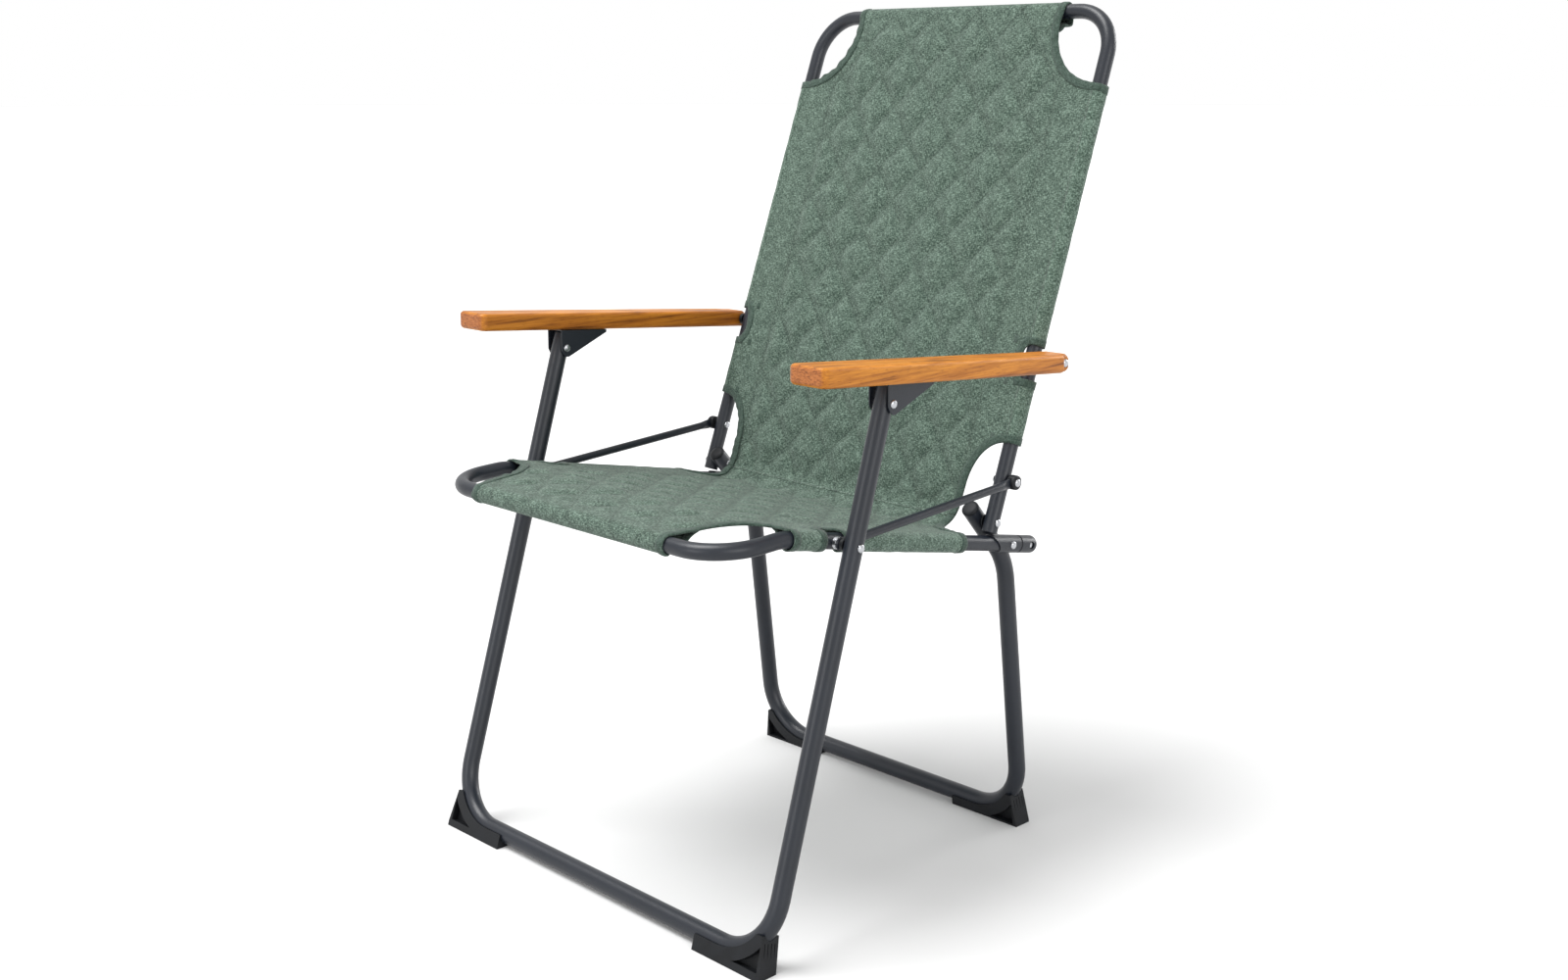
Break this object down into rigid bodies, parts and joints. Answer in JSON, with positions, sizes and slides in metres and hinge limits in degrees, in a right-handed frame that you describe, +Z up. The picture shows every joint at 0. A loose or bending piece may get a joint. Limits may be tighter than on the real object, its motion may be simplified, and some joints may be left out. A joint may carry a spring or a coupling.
{
  "type": "folding camp chair",
  "caption": "Folding camp chair with a tubular frame, crossed floor legs, quilted fabric seat and back, and wooden armrests that fold flat with the frame.",
  "frame": {"origin": "middle of the footprint, on the floor, under the middle of the bounding box", "axes": "+Z up; the chair faces -Y and leans back towards +Y; +X is the left side of a person sitting in it"},
  "size_m": [0.6542, 0.7046, 1.0538],
  "materials": {
    "powder_coat": "fine-textured anthracite powder coat",
    "melange_fabric": "grey-green melange polyester, quilted in diamonds",
    "oiled_wood": "oiled teak-like hardwood",
    "dark_plastic": "matt black nylon",
    "zinc": "zinc-plated, satin"
  },
  "bodies": {
    "armrests": {"arm_bracket_left": "powder_coat", "arm_bracket_right": "powder_coat", "armrest_bolt_left": "zinc", "armrest_bolt_right": "zinc", "armrest_left": "oiled_wood", "armrest_right": "oiled_wood", "bracket_rivet_left": "zinc", "bracket_rivet_right": "zinc", "bracket_screw_front_left": "zinc", "bracket_screw_front_right": "zinc", "bracket_screw_rear_left": "zinc", "bracket_screw_rear_right": "zinc"},
    "back": {"armrest_anchor_left": "zinc", "armrest_anchor_right": "zinc", "armrest_spacer_left": "dark_plastic", "armrest_spacer_right": "dark_plastic", "back_fabric": "melange_fabric", "back_frame": "powder_coat", "back_spacer_left": "dark_plastic", "back_spacer_right": "dark_plastic", "rod_anchor_left": "zinc", "rod_anchor_right": "zinc"},
    "rear_legs": {"back_rivet_left": "zinc", "back_rivet_right": "zinc", "rear_foot_cap_left": "dark_plastic", "rear_foot_cap_right": "dark_plastic", "rear_leg_frame": "powder_coat", "rear_leg_plug_left": "dark_plastic", "rear_leg_plug_right": "dark_plastic"},
    "seat": {"cap_screw_left": "zinc", "cap_screw_right": "zinc", "fabric_web": "melange_fabric", "hinge_sleeve_left": "powder_coat", "hinge_sleeve_right": "powder_coat", "leg_rivet_left": "zinc", "leg_rivet_right": "zinc", "leg_spacer_inner_left": "zinc", "leg_spacer_inner_right": "zinc", "seat_end_cap_left": "dark_plastic", "seat_end_cap_right": "dark_plastic", "seat_end_ring_left": "dark_plastic", "seat_end_ring_right": "dark_plastic", "seat_fabric": "melange_fabric", "seat_frame": "powder_coat", "seat_rivet_left": "zinc", "seat_rivet_right": "zinc"},
    "front_legs": {"front_foot_cap_left": "dark_plastic", "front_foot_cap_right": "dark_plastic", "front_leg_frame": "powder_coat", "leg_spacer_outer_left": "dark_plastic", "leg_spacer_outer_right": "dark_plastic"},
    "side_rods": {"rod_cap_left": "dark_plastic", "rod_cap_right": "dark_plastic", "rod_rivet_left": "zinc", "rod_rivet_right": "zinc", "side_rod_left": "powder_coat", "side_rod_right": "powder_coat"}
  },
  "joints": [
    {"name": "rear_leg_fold", "type": "hinge", "parent": "seat", "child": "rear_legs", "pos_m": [0, 0.1389, 0.3933], "axis": [-1, 0, 0], "range_deg": [0, 107.39]},
    {"name": "back_fold", "type": "hinge", "parent": "rear_legs", "child": "back", "pos_m": [0, 0.1098, 0.4257], "axis": [1, 0, 0], "range_deg": [0, 204.35]},
    {"name": "front_leg_fold", "type": "hinge", "parent": "seat", "child": "front_legs", "pos_m": [0, -0.1735, 0.45422], "axis": [1, 0, 0], "range_deg": [0, 93.06]},
    {"name": "armrest_fold", "type": "hinge", "parent": "front_legs", "child": "armrests", "pos_m": [0, -0.12739, 0.60826], "axis": [-1, 0, 0], "range_deg": [0, 101.04]},
    {"name": "rod_fold", "type": "hinge", "parent": "seat", "child": "side_rods", "pos_m": [0, -0.1735, 0.45422], "axis": [-1, 0, 0], "range_deg": [0, 9.73]}
  ],
  "couplings": [
    {"joint": "back_fold", "follows": "rear_leg_fold", "ratio": 1.9029},
    {"joint": "front_leg_fold", "follows": "rear_leg_fold", "ratio": 0.86656},
    {"joint": "armrest_fold", "follows": "rear_leg_fold", "ratio": 0.94087},
    {"joint": "rod_fold", "follows": "rear_leg_fold", "ratio": 0.090604}
  ]
}
